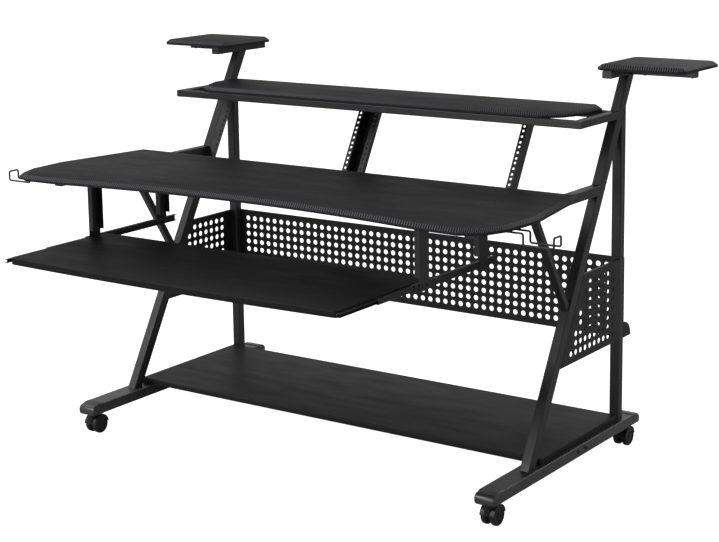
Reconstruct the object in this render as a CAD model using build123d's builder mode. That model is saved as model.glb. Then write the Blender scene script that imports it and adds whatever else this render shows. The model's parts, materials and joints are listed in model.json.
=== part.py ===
"""Computer and music desk on casters, with a keyboard tray, a raised shelf with rack rails,
two small top shelves, perforated side and rear panels and a low shelf.

Millimetres, +Z up, +X along the desk's width, -Y towards the person who sits at it.
The origin is on the floor, at the middle of the overall box.
"""
from math import cos, radians, sin, tan
import os

from build123d import *

os.makedirs("parts", exist_ok=True)

# ---------------------------------------------------------------- driving dimensions
# heights above the floor
desk_height = 740.0            # top face of the desktop
tray_height = 585.0            # top face of the keyboard tray
shelf_height = 913.0           # top face of the raised shelf
top_shelf_height = 1019.0      # top face of the two small shelves
foot_bottom = 58.0             # underside of the foot rails
rack_base_top = 685.0          # top of the cross tube that carries the rack rails
panel_top = 515.0              # top edge of the perforated panels

# frame tubes
post_width = 26.0              # every upright tube, measured along X
post_depth = 25.0              # rear post, along Y
slant_depth = 29.0             # slanted post, square to its length
slant_angle = 29.3             # slanted post, degrees back from upright
arm_height = 25.0              # desk arm, along Z
brace_width = 19.0
brace_depth = 17.0             # diagonal brace, square to its length
brace_angle = 32.0             # diagonal brace, degrees forward from upright
brace_foot = 452.0             # height where the brace's rear side meets the slanted post
shelf_tube_height = 19.0       # shelf frame tubes, along Z
shelf_tube_depth = 20.0        # shelf frame cross tubes, along Y
bracket_height = 19.0          # top shelf bracket tubes, along Z
cross_tube = 25.0              # square cross tubes under the boards
desk_cross_ahead = (600.0, 350.0)  # middles of the two cross tubes under the desktop
tube_wall = 1.5
tube_corner = 2.4              # outside corner radius of every tube
frame_half = 643.0             # from the middle plane to the posts' outer sides

# feet and casters
foot_width = 56.0
foot_height = 28.0
foot_centre = frame_half - 15.0  # from the middle plane to the middle of a foot rail
foot_reach_front = 612.0       # foot rail's front end, ahead of the rear posts' front faces
foot_reach_rear = 62.0         # foot rail's rear end, behind the same faces
cap_length = 41.0              # the part of an end cap that shows
cap_plug = 24.0                # the part inside the rail
cap_nose = 8.5                 # radius over the cap's top front edge
cap_corner = 9.0               # radius of the cap's upright corners
wheel_radius = 25.0
wheel_width = 14.0
wheel_gap = 11.0               # between the two wheels of a caster
wheel_trail = 19.0             # stem to axle
hood_wall = 1.8
hood_clearance = 0.8           # wheel to hood
stem_radius = 4.0
stem_socket = 22.0             # depth of the socket in the cap
stem_in_neck = 15.0
neck_radius = 10.5
neck_gap = 1.2                 # neck to cap
web_radius = 17.0
web_clearance = 0.6
hood_open = 3.0                # how far above the axle the hood stops
wheel_round = 4.0
wheel_dish = 18.0
wheel_hub = 7.0
wheel_dish_depth = 1.6
axle_radius = 3.0
running_clearance = 0.06       # radial, shafts that turn

# desktop
board = 15.0                   # thickness of the desktop and shelves
bevel_height = 8.0
bevel_width = 11.0
desk_half_rear = frame_half + 47.0
desk_half_wide = frame_half + 96.0
desk_rear = 316.0              # distances ahead of the rear posts' front faces
desk_wide_at = 602.0
desk_shoulder = (frame_half + 88.0, 718.0)
desk_corner = (frame_half + 62.0, 781.0)
desk_tip = (frame_half + 12.0, 808.0)
desk_scoop_half = frame_half - 98.0  # half the width of the hollow in the front edge
desk_scoop_edge = 803.0
desk_scoop_deep = 753.0
desk_arm_front = 716.0

# raised shelf
shelf_front = 219.0
shelf_rear = 5.0
shelf_half_front = frame_half - 118.0
shelf_half = frame_half - 39.0
shelf_cut_mid = (frame_half - 71.0, 185.0)
shelf_cut_back = 110.0
shelf_corner_cut = (22.0, 27.0)

# small top shelves
top_width = 240.0
top_depth = 221.0
top_centre = frame_half + 71.0
top_front = 56.0
top_cut = 16.0
bracket_front = 60.0           # bracket's main bar, ahead of and behind the rear posts' front faces
bracket_rear = 158.0
bracket_arm_at = 49.0
bracket_arm_end = frame_half + 174.0  # outer end of the bracket's cross arm
bracket_arm_width = 22.0

# low shelf
low_half = frame_half - 1.0
low_front = 410.0
low_corner = 6.0
low_edge = 3.0                 # rounding of the edges of the low shelf and the tray
low_cross_ahead = 222.0        # middle of the cross tube between the foot rails
low_cross_depth = 60.0

# keyboard tray, its slides and hangers
tray_half = 495.0
tray_thickness = 17.0
tray_depth = 350.0
tray_bow = 14.0                # how far the front edge bows out
tray_corner = 16.0
tray_travel = 284.0            # the tray is drawn fully out as modelled
slide_length = 350.0
slide_height = 17.0
slide_width = 12.6             # tray side to hanger
slide_sheet = 1.2
slide_step = 0.8               # clearance between the telescoping members
slide_front = 751.0            # front end of the fixed member
hanger_sheet = 1.6
hanger_flange = 14.0
hanger_width = 40.0
hanger_fronts = (733.0, 474.0)
hanger_drop = 3.0              # how far a hanger reaches below the slide
hanger_notch = 12.0            # slide's top to the flanges' lower ends

# rack rails, to the 19-inch hole spacing
rack_unit = 44.45
rack_in_unit = (0.0, 15.875, 31.75)
rack_bay = 465.1               # hole column to hole column across one bay
rack_units = 5
rack_first = 6.35              # first hole from the rail's top end
rack_hole_radius = 3.5
rack_sheet = 1.6
rack_flange = 16.0
rack_hole_inset = 8.5          # hole column to the flange's free edge
rack_body = 36.0               # width of the middle rail's channel
rack_depth = 34.0
rack_left_column = 49.0 - frame_half  # hole column beside the left slanted post

# perforated panels
panel_sheet = 1.5
panel_height = 213.0
perf_radius = 7.0
perf_pitch_x = 24.7
perf_pitch_z = 23.4
perf_rows = 8
perf_columns = 49
side_columns = 10
side_first = 38.0              # side panel's rear hole column, ahead of the rear post
side_margin = 30.0             # from a hole's centre to the slanted post
ledge_depth = 40.0
panel_flange = 20.0            # folded edge on the rear post's front face
panel_lip = 8.0                # folded top edge

# headphone hooks
wire_radius = 2.0
hook_centre = 681.0            # ahead of the rear posts' front faces
hook_gap = 32.0                # between the two wires
hook_start = frame_half + 25.0
hook_drop_at = frame_half + 112.0
hook_end = frame_half + 188.0
hook_drop = 26.0
hook_rise = 24.0
hook_bend = 5.0
plate_sheet = 2.0
plate_margin = 9.0

# screws that hold the low cross tube to the foot rails
screw_radius = 3.0
screw_head_radius = 5.5
screw_head = 3.0
screw_step = 19.5              # either side of the cross tube's middle
screw_into_tube = 10.0
screw_head_taper = 25.0

# ---------------------------------------------------------------- derived values
lean = tan(radians(slant_angle))
slant_run = slant_depth / cos(radians(slant_angle))        # slanted post's depth along Y
foot_top = foot_bottom + foot_height
post_mid = frame_half - post_width / 2
post_inner = frame_half - post_width
slant_foot = 470.0             # slanted post's front face at the foot, ahead of the rear post
tray_front = slide_front + tray_travel
tray_tip = tray_front + tray_bow / 2
top_rear = top_depth - top_front
# the rear posts' front faces stand here, so that the origin is at the middle of the depth
datum = (tray_tip - top_rear) / 2
desk_under = desk_height - board
arm_bottom = desk_under - arm_height
shelf_under = shelf_height - board
shelf_tube_bottom = shelf_under - shelf_tube_height
top_under = top_shelf_height - board
bracket_bottom = top_under - bracket_height
panel_bottom = panel_top - panel_height
tray_under = tray_height - tray_thickness
slide_top = tray_height - (tray_thickness - slide_height) / 2
slide_bottom = slide_top - slide_height
hanger_inner = tray_half + slide_width
wheel_reach = wheel_gap / 2 + wheel_width
neck_top = foot_bottom - tube_wall - neck_gap
perf_bottom_row = panel_bottom + (panel_height - (perf_rows - 1) * perf_pitch_z) / 2


def ahead(distance):
    """Y of a place the given distance ahead of the rear posts' front faces."""
    return datum - distance


def slant_front(height):
    """Y of the slanted posts' front face at a height."""
    return ahead(slant_foot) + (height - foot_top) * lean


def slant_rear(height):
    return slant_front(height) + slant_run


def slant_rear_height(place):
    """Height where the slanted posts' rear face reaches a Y."""
    return foot_top + (place - ahead(slant_foot) - slant_run) / lean


def save(part, name):
    part.label = name
    export_step(part, f"parts/{name}.step")


def between(start, end, share):
    return tuple(a + (b - a) * share for a, b in zip(start, end))


def shifted(point, step):
    return tuple(a + b for a, b in zip(point, step))


def is_along(edge, direction):
    """True for a straight edge that runs the given way, to within about a degree."""
    return abs((edge @ 1 - edge @ 0).normalized().dot(direction)) > cos(radians(1))


def side_tube(front_low, rear_low, rear_high, front_high, width, x_mid, depth, end_wall=0.0):
    """Tube whose long sides run from the low points to the high ones; an end wall closes its low end."""
    along = Vector(0, front_high[0] - front_low[0], front_high[1] - front_low[1]).normalized()
    share = tube_wall / depth
    inset = (along.Y * end_wall, along.Z * end_wall)
    bore = (
        shifted(between(front_low, rear_low, share), inset),
        shifted(between(rear_low, front_low, share), inset),
        between(rear_high, front_high, share),
        between(front_high, rear_high, share),
    )
    with BuildPart() as tube:
        with BuildSketch(Plane.YZ.offset(x_mid - width / 2)):
            with BuildLine():
                Polyline(front_low, rear_low, rear_high, front_high, close=True)
            make_face()
        extrude(amount=width)
        fillet(tube.edges().filter_by(lambda edge: is_along(edge, along)), tube_corner)
        with BuildSketch(Plane.YZ.offset(x_mid - width / 2 + tube_wall)):
            with BuildLine():
                Polyline(*bore, close=True)
            make_face()
        extrude(amount=width - 2 * tube_wall, mode=Mode.SUBTRACT)
    return tube.part


def cross_bar(x_from, x_to, front, rear, bottom, top, end_wall=0.0):
    """Rectangular tube that runs along X, with an end wall at x_to."""
    way = 1 if x_to > x_from else -1
    with BuildPart() as tube:
        with BuildSketch(Plane.YZ.offset(x_from)):
            with Locations(((front + rear) / 2, (bottom + top) / 2)):
                RectangleRounded(rear - front, top - bottom, tube_corner)
        extrude(amount=x_to - x_from)
        with BuildSketch(Plane.YZ.offset(x_from)):
            with Locations(((front + rear) / 2, (bottom + top) / 2)):
                Rectangle(rear - front - 2 * tube_wall, top - bottom - 2 * tube_wall)
        extrude(amount=x_to - x_from - way * end_wall, mode=Mode.SUBTRACT)
    return tube.part


def long_bar(front, rear, x_mid, width, bottom, top, end_wall=0.0):
    """Rectangular tube that runs along Y, with an end wall at both ends."""
    with BuildPart() as tube:
        with BuildSketch(Plane.XZ.offset(-front)):
            with Locations((x_mid, (bottom + top) / 2)):
                RectangleRounded(width, top - bottom, tube_corner)
        extrude(amount=-(rear - front))
        with BuildSketch(Plane.XZ.offset(-front - end_wall)):
            with Locations((x_mid, (bottom + top) / 2)):
                Rectangle(width - 2 * tube_wall, top - bottom - 2 * tube_wall)
        extrude(amount=-(rear - front - 2 * end_wall), mode=Mode.SUBTRACT)
    return tube.part


def bevelled(outline, bottom, thickness):
    """Board with a wide bevel round its top edge."""
    with BuildPart() as slab:
        with BuildSketch(Plane.XY.offset(bottom)):
            add(outline)
        extrude(amount=thickness)
        top = slab.faces().sort_by(Axis.Z)[-1]
        chamfer(top.edges(), length=bevel_width, length2=bevel_height, reference=top)
    return slab.part


SIDES = (("left", -1), ("right", 1))

# ---------------------------------------------------------------- side frames
def foot_rail(way):
    rail = long_bar(
        ahead(foot_reach_front), ahead(-foot_reach_rear), way * foot_centre, foot_width, foot_bottom, foot_top
    )
    with BuildPart() as drilled:
        add(rail)
        with BuildSketch(Plane.YZ.offset(way * (foot_centre + foot_width / 2 + 1))):
            with Locations(*screw_places()):
                Circle(screw_radius)
        extrude(amount=-way * (foot_width + 2), mode=Mode.SUBTRACT)
    return drilled.part


def screw_places():
    """Y and Z of the screws through a foot rail."""
    height = foot_top - cross_tube / 2
    return [(ahead(low_cross_ahead + step), height) for step in (-screw_step, screw_step)]


def foot_cap(way, toward, rail_end):
    """End cap with a plug in the rail and a socket for the caster's stem."""
    with BuildPart() as cap:
        with BuildSketch(Plane.XY.offset(foot_bottom - tube_wall)):
            with Locations((way * foot_centre, rail_end + toward * cap_length / 2)):
                Rectangle(foot_width + 1, cap_length)
        extrude(amount=foot_height + 2 * tube_wall)
        nose = cap.faces().sort_by(Axis.Y)[0 if toward < 0 else -1]
        fillet(nose.edges().filter_by(Axis.Z), cap_corner)
        nose = cap.faces().sort_by(Axis.Y)[0 if toward < 0 else -1]
        fillet(nose.edges().sort_by(Axis.Z)[-1], cap_nose)
        with BuildSketch(Plane.XY.offset(foot_bottom + tube_wall)):
            with Locations((way * foot_centre, rail_end - toward * cap_plug / 2)):
                Rectangle(foot_width - 2 * tube_wall, cap_plug)
        extrude(amount=foot_height - 2 * tube_wall)
        with Locations((way * foot_centre, rail_end + toward * cap_length / 2, foot_bottom - tube_wall)):
            Cylinder(stem_radius, stem_socket, align=(Align.CENTER, Align.CENTER, Align.MIN), mode=Mode.SUBTRACT)
    return cap.part


def slanted_post(way):
    return side_tube(
        (slant_front(foot_top), foot_top),
        (slant_rear(foot_top), foot_top),
        (slant_rear(bracket_bottom), bracket_bottom),
        (slant_front(bracket_bottom), bracket_bottom),
        post_width, way * post_mid, slant_depth,
    )


def rear_post(way):
    """Upright post, cut at the top where the slanted post crosses it."""
    front, rear = ahead(0), ahead(-post_depth)
    return side_tube(
        (front, foot_top), (rear, foot_top), (rear, slant_rear_height(rear)), (front, slant_rear_height(front)),
        post_width, way * post_mid, post_depth,
    )


def arm(way, reach, bottom, top):
    """Level tube that reaches forward from a slanted post."""
    return side_tube(
        (ahead(reach), top), (ahead(reach), bottom), (slant_front(bottom), bottom), (slant_front(top), top),
        post_width, way * post_mid, top - bottom, end_wall=tube_wall,
    )


def brace(way):
    """Diagonal tube from the slanted post, up and forward to the desk arm."""
    forward = tan(radians(brace_angle))
    run = brace_depth / cos(radians(brace_angle))
    low = brace_foot - run / (lean + forward)
    rear_top = slant_front(brace_foot) - (arm_bottom - brace_foot) * forward
    return side_tube(
        (slant_front(low), low), (slant_front(brace_foot), brace_foot),
        (rear_top, arm_bottom), (rear_top - run, arm_bottom),
        brace_width, way * post_mid, brace_depth,
    )


def top_bracket(way):
    """Bar on the slanted post with an arm out to the side; the arm's bore opens into the bar."""
    arm_front, arm_rear = ahead(-bracket_arm_at), ahead(-bracket_arm_at - bracket_arm_width)
    with BuildPart() as main:
        add(
            long_bar(ahead(bracket_front), ahead(-bracket_rear), way * post_mid, post_width,
                     bracket_bottom, top_under, end_wall=tube_wall)
        )
        with BuildSketch(Plane.YZ.offset(way * frame_half)):
            with Locations(((arm_front + arm_rear) / 2, (bracket_bottom + top_under) / 2)):
                Rectangle(bracket_arm_width - 2 * tube_wall, bracket_height - 2 * tube_wall)
        extrude(amount=-way * tube_wall, mode=Mode.SUBTRACT)
    cross = cross_bar(
        way * frame_half, way * bracket_arm_end, arm_front, arm_rear, bracket_bottom, top_under, end_wall=tube_wall
    )
    return Compound(children=[main.part, cross])


def top_shelf(way):
    with BuildSketch() as outline:
        with Locations((way * top_centre, ahead(top_front) + top_depth / 2)):
            Rectangle(top_width, top_depth)
        chamfer(outline.vertices(), top_cut)
    return bevelled(outline.sketch, top_under, board)


def side_panel(way):
    """Perforated sheet between the slanted and rear posts, with three folded edges."""
    outer = way * frame_half
    with BuildPart() as panel:
        with BuildSketch(Plane.YZ.offset(outer)):
            with BuildLine():
                Polyline(
                    (slant_rear(panel_bottom), panel_bottom), (ahead(0), panel_bottom),
                    (ahead(0), panel_top), (slant_rear(panel_top), panel_top), close=True,
                )
            make_face()
            with Locations(*side_holes()):
                Circle(perf_radius, mode=Mode.SUBTRACT)
        extrude(amount=-way * panel_sheet)
        with BuildSketch(Plane.YZ.offset(outer)):
            with BuildLine():
                Polyline(
                    (ahead(0), panel_bottom), (ahead(0), panel_top), (ahead(panel_sheet), panel_top),
                    (ahead(panel_sheet), panel_bottom), close=True,
                )
            make_face()
        extrude(amount=-way * panel_flange)
        with BuildSketch(Plane.YZ.offset(outer)):
            with BuildLine():
                Polyline(
                    (slant_rear(panel_top), panel_top), (ahead(0), panel_top),
                    (ahead(0), panel_top - panel_sheet), (slant_rear(panel_top - panel_sheet), panel_top - panel_sheet),
                    close=True,
                )
            make_face()
        extrude(amount=-way * panel_lip)
    return panel.part


def side_holes():
    """Y and Z of the side panel's holes that stay clear of the slanted post."""
    places = []
    for row in range(perf_rows):
        height = perf_bottom_row + row * perf_pitch_z
        for column in range(side_columns):
            place = ahead(side_first + column * perf_pitch_x)
            if place > slant_rear(height) + side_margin:
                places.append((place, height))
    return places


def ledge_end(way):
    """Quarter-round end of the cable ledge."""
    back = ahead(-post_depth - panel_sheet)
    with BuildPart() as gusset:
        with BuildSketch(Plane.YZ.offset(way * frame_half)):
            with BuildLine():
                low = Line((back, panel_bottom + panel_sheet), (back + ledge_depth, panel_bottom + panel_sheet))
                RadiusArc(low @ 1, (back, panel_bottom + panel_sheet + ledge_depth), -ledge_depth)
                Line((back, panel_bottom + panel_sheet + ledge_depth), low @ 0)
            make_face()
        extrude(amount=-way * panel_sheet)
    return gusset.part


def headphone_hook(way):
    """Double wire hook on a plate under the desktop."""
    height = desk_under - plate_sheet - wire_radius
    near, far = ahead(hook_centre + hook_gap / 2), ahead(hook_centre - hook_gap / 2)
    floor = height - hook_drop
    path_points = [
        (way * hook_start, near, height), (way * hook_drop_at, near, height), (way * hook_drop_at, near, floor),
        (way * hook_end, near, floor), (way * hook_end, near, floor + hook_rise),
        (way * hook_end, far, floor + hook_rise), (way * hook_end, far, floor), (way * hook_drop_at, far, floor),
        (way * hook_drop_at, far, height), (way * hook_start, far, height),
    ]
    with BuildPart() as hook:
        with BuildLine():
            wire = FilletPolyline(*path_points, radius=hook_bend)
        with BuildSketch(Plane(origin=wire @ 0, z_dir=wire % 0)):
            Circle(wire_radius)
        sweep(path=wire)
    with BuildPart() as plate:
        with BuildSketch(Plane.XY.offset(desk_under - plate_sheet)):
            with Locations((way * (hook_start + 2 * plate_margin), ahead(hook_centre))):
                RectangleRounded(4 * plate_margin, hook_gap + 2 * plate_margin, wire_radius)
        extrude(amount=plate_sheet)
    return Compound(children=[hook.part, plate.part])


for side, way in SIDES:
    save(foot_rail(way), f"foot_rail_{side}")
    save(foot_cap(way, -1, ahead(foot_reach_front)), f"foot_cap_front_{side}")
    save(foot_cap(way, 1, ahead(-foot_reach_rear)), f"foot_cap_rear_{side}")
    save(slanted_post(way), f"slanted_post_{side}")
    save(rear_post(way), f"rear_post_{side}")
    save(arm(way, desk_arm_front, arm_bottom, desk_under), f"desk_arm_{side}")
    save(arm(way, shelf_front, shelf_tube_bottom, shelf_under), f"shelf_arm_{side}")
    save(brace(way), f"desk_brace_{side}")
    save(top_bracket(way), f"top_bracket_{side}")
    save(top_shelf(way), f"top_shelf_{side}")
    save(side_panel(way), f"side_panel_{side}")
    save(ledge_end(way), f"cable_ledge_end_{side}")
    save(headphone_hook(way), f"headphone_hook_{side}")

# ---------------------------------------------------------------- cross tubes
save(
    cross_bar(-post_inner, post_inner, ahead(shelf_front), ahead(shelf_front - shelf_tube_depth),
              shelf_tube_bottom, shelf_under),
    "shelf_front_tube",
)
shelf_rear_front = slant_front(shelf_tube_bottom)
save(
    cross_bar(-post_inner, post_inner, shelf_rear_front, shelf_rear_front + shelf_tube_depth,
              shelf_tube_bottom, shelf_under),
    "shelf_rear_tube",
)
save(
    Compound(children=[
        cross_bar(-post_inner, post_inner, ahead(middle + cross_tube / 2), ahead(middle - cross_tube / 2),
                  arm_bottom, desk_under)
        for middle in desk_cross_ahead
    ]),
    "desk_cross_tubes",
)
foot_inner = foot_centre - foot_width / 2
save(
    cross_bar(
        -foot_inner, foot_inner, ahead(low_cross_ahead + low_cross_depth / 2),
        ahead(low_cross_ahead - low_cross_depth / 2), foot_top - cross_tube, foot_top,
    ),
    "low_cross_tube",
)

# screws through the foot rails into the low cross tube
with BuildPart() as frame_screws:
    for side, way in SIDES:
        with BuildSketch(Plane.YZ.offset(way * (foot_centre + foot_width / 2))):
            with Locations(*screw_places()):
                Circle(screw_radius)
        extrude(amount=-way * (foot_width + screw_into_tube))
        with BuildSketch(Plane.YZ.offset(way * (foot_centre + foot_width / 2))):
            with Locations(*screw_places()):
                Circle(screw_head_radius)
        extrude(amount=way * screw_head, taper=screw_head_taper)
save(frame_screws.part, "frame_screws")

# ---------------------------------------------------------------- rack rails
# the rails' front flanges lie in the plane of the slanted posts' front faces
rack_plane = Plane(
    origin=(0, slant_front(rack_base_top), rack_base_top),
    x_dir=(1, 0, 0),
    z_dir=(0, -cos(radians(slant_angle)), sin(radians(slant_angle))),
)
rack_slope = 1 / cos(radians(slant_angle))
rack_length = (shelf_tube_bottom - rack_base_top) * rack_slope
middle_left_column = rack_left_column + rack_bay
middle_right_column = middle_left_column + rack_body + 2 * (rack_flange - rack_hole_inset)
right_column = middle_right_column + rack_bay


def rack_rail(strips, columns):
    """Folded sheet rail; each strip is (x from, x to, depth from, depth to) in section."""
    holes = [
        (column, rack_length - rack_first - unit * rack_unit - step)
        for column in columns for unit in range(rack_units) for step in rack_in_unit
        if rack_length - rack_first - unit * rack_unit - step > rack_hole_radius
    ]
    with BuildPart() as rail:
        with BuildSketch(Plane.XY.offset(rack_base_top)):
            for x_from, x_to, near, far in strips:
                with Locations((x_from, slant_front(rack_base_top) + near * rack_slope)):
                    Rectangle(x_to - x_from, (far - near) * rack_slope, align=(Align.MIN, Align.MIN))
        extrude(amount=rack_length, dir=(0, sin(radians(slant_angle)), cos(radians(slant_angle))))
        with BuildSketch(rack_plane):
            with Locations(*holes):
                Circle(rack_hole_radius)
        extrude(amount=-2 * rack_sheet, mode=Mode.SUBTRACT)
    return rail.part


left_edge = rack_left_column + rack_hole_inset
save(
    rack_rail(
        [(-post_inner, left_edge, 0, rack_sheet), (-post_inner, -post_inner + rack_sheet, 0, slant_depth)],
        [rack_left_column],
    ),
    "rack_rail_left",
)
body_left = middle_left_column - rack_hole_inset + rack_flange
body_right = body_left + rack_body
save(
    rack_rail(
        [
            (body_left - rack_flange, body_left, 0, rack_sheet),
            (body_left - rack_sheet, body_left, 0, rack_depth),
            (body_left - rack_sheet, body_right + rack_sheet, rack_depth - rack_sheet, rack_depth),
            (body_right, body_right + rack_sheet, 0, rack_depth),
            (body_right, body_right + rack_flange, 0, rack_sheet),
        ],
        [middle_left_column, middle_right_column],
    ),
    "rack_rail_middle",
)
right_edge = right_column - rack_hole_inset + rack_flange
save(
    rack_rail(
        [(right_edge - rack_flange, right_edge, 0, rack_sheet), (right_edge - rack_sheet, right_edge, 0, rack_depth)],
        [right_column],
    ),
    "rack_rail_right",
)
# the base tube ties the rails' lower ends to the left post and stops at the right rail
save(
    cross_bar(-post_inner, right_edge, slant_front(rack_base_top), slant_front(rack_base_top) + cross_tube,
              rack_base_top - cross_tube, rack_base_top, end_wall=tube_wall),
    "rack_base_tube",
)

# ---------------------------------------------------------------- boards
# desktop: tapered sides, cut corners and a shallow hollow in the front edge
with BuildSketch() as desk_outline:
    with BuildLine() as right_half:
        Polyline(
            (0, ahead(desk_rear)), (desk_half_rear, ahead(desk_rear)), (desk_half_wide, ahead(desk_wide_at)),
            (desk_shoulder[0], ahead(desk_shoulder[1])), (desk_corner[0], ahead(desk_corner[1])),
            (desk_tip[0], ahead(desk_tip[1])), (desk_scoop_half, ahead(desk_scoop_edge)),
        )
        Polyline(
            (0, ahead(desk_rear)), (-desk_half_rear, ahead(desk_rear)), (-desk_half_wide, ahead(desk_wide_at)),
            (-desk_shoulder[0], ahead(desk_shoulder[1])), (-desk_corner[0], ahead(desk_corner[1])),
            (-desk_tip[0], ahead(desk_tip[1])), (-desk_scoop_half, ahead(desk_scoop_edge)),
        )
        ThreePointArc(
            (-desk_scoop_half, ahead(desk_scoop_edge)), (0, ahead(desk_scoop_deep)),
            (desk_scoop_half, ahead(desk_scoop_edge)),
        )
    make_face()
save(bevelled(desk_outline.sketch, desk_under, board), "desktop")

# raised shelf: its ends are cut back, so that the frame's front corners show
with BuildSketch() as shelf_outline:
    with BuildLine():
        right_points = [
            (shelf_half_front, ahead(shelf_front)), (shelf_cut_mid[0], ahead(shelf_cut_mid[1])),
            (shelf_half, ahead(shelf_cut_back)), (shelf_half, ahead(shelf_rear + shelf_corner_cut[1])),
            (shelf_half - shelf_corner_cut[0], ahead(shelf_rear)),
        ]
        left_points = [(-x, y) for x, y in reversed(right_points)]
        Polyline(*right_points, *left_points, close=True)
    make_face()
save(bevelled(shelf_outline.sketch, shelf_under, board), "raised_shelf")

# low shelf, between the slanted posts and the rear posts
with BuildPart() as low_shelf:
    with BuildSketch(Plane.XY.offset(foot_top)):
        with Locations((0, (ahead(low_front) + ahead(0)) / 2)):
            RectangleRounded(2 * low_half, low_front, low_corner)
    extrude(amount=board)
    fillet(low_shelf.faces().sort_by(Axis.Z)[-1].edges(), low_edge)
save(low_shelf.part, "low_shelf")

# keyboard tray with a bowed front edge
tray_rear = ahead(tray_front - tray_depth)
tray_corner_front = ahead(tray_tip - tray_bow)
with BuildPart() as keyboard_tray:
    with BuildSketch(Plane.XY.offset(tray_under)):
        with BuildLine():
            Polyline(
                (tray_half, tray_corner_front), (tray_half, tray_rear),
                (-tray_half, tray_rear), (-tray_half, tray_corner_front),
            )
            ThreePointArc((-tray_half, tray_corner_front), (0, ahead(tray_tip)), (tray_half, tray_corner_front))
        make_face()
    extrude(amount=tray_thickness)
    fillet(keyboard_tray.edges().filter_by(Axis.Z).group_by(Axis.Y)[0], tray_corner)
    fillet(keyboard_tray.faces().sort_by(Axis.Z)[-1].edges(), low_edge)
save(keyboard_tray.part, "keyboard_tray")

# ---------------------------------------------------------------- slides and hangers
def slide_member(way, x_near, x_far, web_at, bottom, top, front):
    """Folded steel channel along Y; web_at names the x of the web's outer face."""
    inward = 1 if web_at == x_near else -1
    with BuildPart() as member:
        with BuildSketch(Plane.XZ.offset(-front)):
            with Locations(((x_near + x_far) / 2 * way, (bottom + top) / 2)):
                Rectangle(x_far - x_near, top - bottom)
            open_middle = (x_near + x_far) / 2 + inward * slide_sheet
            with Locations((open_middle * way, (bottom + top) / 2)):
                Rectangle(x_far - x_near, top - bottom - 2 * slide_sheet, mode=Mode.SUBTRACT)
        extrude(amount=-slide_length)
    return member.part


def hanger(way, front):
    """Sheet channel down to the slide; its two flanges stop above the tray."""
    low, notch = slide_bottom - hanger_drop, slide_top + hanger_notch
    inner, outer = hanger_inner + hanger_sheet - hanger_flange, hanger_inner + hanger_sheet
    middle = front + hanger_width / 2
    with BuildPart() as channel:
        with BuildSketch(Plane.XY.offset(notch)):
            with Locations(((inner + outer) / 2 * way, middle)):
                Rectangle(outer - inner, hanger_width)
            with Locations(((inner + outer) / 2 * way - way * hanger_sheet, middle)):
                Rectangle(outer - inner, hanger_width - 2 * hanger_sheet, mode=Mode.SUBTRACT)
        extrude(amount=desk_under - notch)
        with BuildSketch(Plane.XY.offset(low)):
            with Locations(((hanger_inner + outer) / 2 * way, middle)):
                Rectangle(hanger_sheet, hanger_width)
        extrude(amount=notch - low)
        with BuildSketch(Plane.XY.offset(desk_under - hanger_sheet)):
            with Locations(((inner + outer) / 2 * way, middle)):
                Rectangle(outer - inner, hanger_width)
        extrude(amount=hanger_sheet)
    return channel.part


nest = slide_sheet + slide_step
fixed_front = ahead(slide_front)
for side, way in SIDES:
    save(
        slide_member(way, tray_half + nest + slide_step, hanger_inner, hanger_inner, slide_bottom, slide_top, fixed_front),
        f"slide_outer_{side}",
    )
    save(
        slide_member(way, tray_half + nest, hanger_inner - nest, hanger_inner - nest,
                     slide_bottom + nest, slide_top - nest, fixed_front - tray_travel / 2),
        f"slide_middle_{side}",
    )
    save(
        slide_member(way, tray_half, hanger_inner - 2 * nest, tray_half,
                     slide_bottom + 2 * nest, slide_top - 2 * nest, fixed_front - tray_travel),
        f"slide_inner_{side}",
    )
    for place, front in zip(("front", "rear"), hanger_fronts):
        save(hanger(way, ahead(front)), f"tray_hanger_{place}_{side}")

# ---------------------------------------------------------------- rear panel and cable ledge
with BuildPart() as rear_panel:
    with BuildSketch(Plane.XZ.offset(-ahead(-post_depth))):
        with Locations((0, (panel_bottom + panel_top) / 2)):
            Rectangle(2 * frame_half, panel_height)
        with Locations((0, perf_bottom_row + (perf_rows - 1) * perf_pitch_z / 2)):
            with GridLocations(perf_pitch_x, perf_pitch_z, perf_columns, perf_rows):
                Circle(perf_radius, mode=Mode.SUBTRACT)
    extrude(amount=-panel_sheet)
save(rear_panel.part, "rear_panel")

with BuildPart() as cable_ledge:
    with BuildSketch(Plane.XY.offset(panel_bottom)):
        with Locations((0, ahead(-post_depth - panel_sheet) + ledge_depth / 2)):
            Rectangle(2 * frame_half, ledge_depth)
    extrude(amount=panel_sheet)
save(cable_ledge.part, "cable_ledge")

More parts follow.
